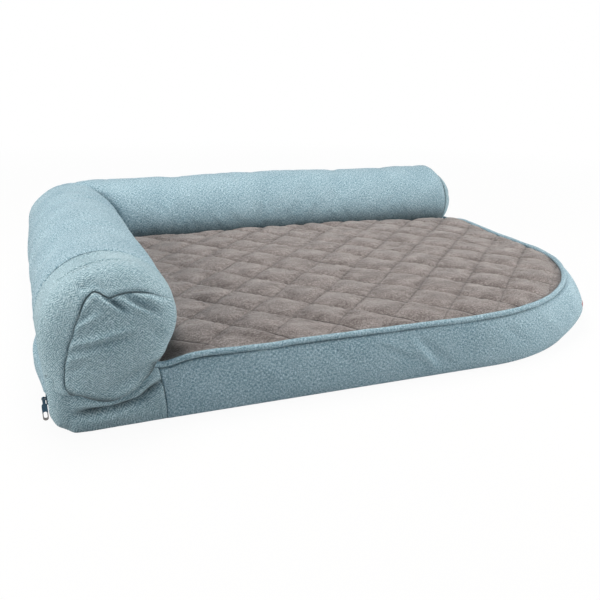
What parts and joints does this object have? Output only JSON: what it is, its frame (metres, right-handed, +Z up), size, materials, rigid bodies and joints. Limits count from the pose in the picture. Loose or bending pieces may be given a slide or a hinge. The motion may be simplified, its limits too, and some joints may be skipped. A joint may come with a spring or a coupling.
{
  "type": "foam pet bed",
  "caption": "L-shaped foam pet bed with a quilted plush top, a zipped fabric cover and two round bolsters along its side and back.",
  "frame": {"origin": "on the floor, under the centre of the bed's outer box", "axes": "+X to the bed's right along its length, +Y from the open front to the back bolster, +Z up"},
  "size_m": [0.9202, 0.724, 0.195],
  "materials": {
    "plush": "matte",
    "plain_weave": "matte",
    "herringbone_weave": "matte",
    "base_cloth": "matte",
    "lining": "matte",
    "foam": "matte",
    "filling": "matte",
    "zipper_tape": "matte",
    "zipper_coil": "satin",
    "slider_paint": "satin",
    "label_cloth": "satin"
  },
  "bodies": {
    "root": {"foam_slab": "foam", "quilted_top_panel": "plush", "bolster_lining": "lining", "bottom_panel": "base_cloth", "front_band": "plain_weave", "front_corner_panel": "herringbone_weave", "lower_side_band": "plain_weave", "upper_side_band": "plain_weave", "back_band": "plain_weave", "top_piping": "plain_weave", "side_bolster_cover": "plain_weave", "side_bolster_sleeve": "herringbone_weave", "back_bolster_cover": "plain_weave", "front_end_cap": "herringbone_weave", "right_end_cap": "herringbone_weave", "side_bolster_fill": "filling", "back_bolster_fill": "filling", "zipper_tape_lower": "zipper_tape", "zipper_tape_upper": "zipper_tape", "zipper_coil_lower": "zipper_coil", "zipper_coil_upper": "zipper_coil", "zipper_top_stops": "zipper_coil", "zipper_bottom_stop": "zipper_coil", "side_label": "label_cloth"},
    "slider": {"zipper_slider": "slider_paint"},
    "pull": {"zipper_pull": "slider_paint"}
  },
  "joints": [
    {"name": "zipper_slide", "type": "slide", "parent": "root", "child": "slider", "axis": [0, 1, 0], "range_m": [0, 0.595]},
    {"name": "pull_swing", "type": "hinge", "parent": "slider", "child": "pull", "pos_m": [-0.4495, -0.3112, 0.036], "axis": [0, 1, 0], "range_deg": [0, 150]}
  ]
}
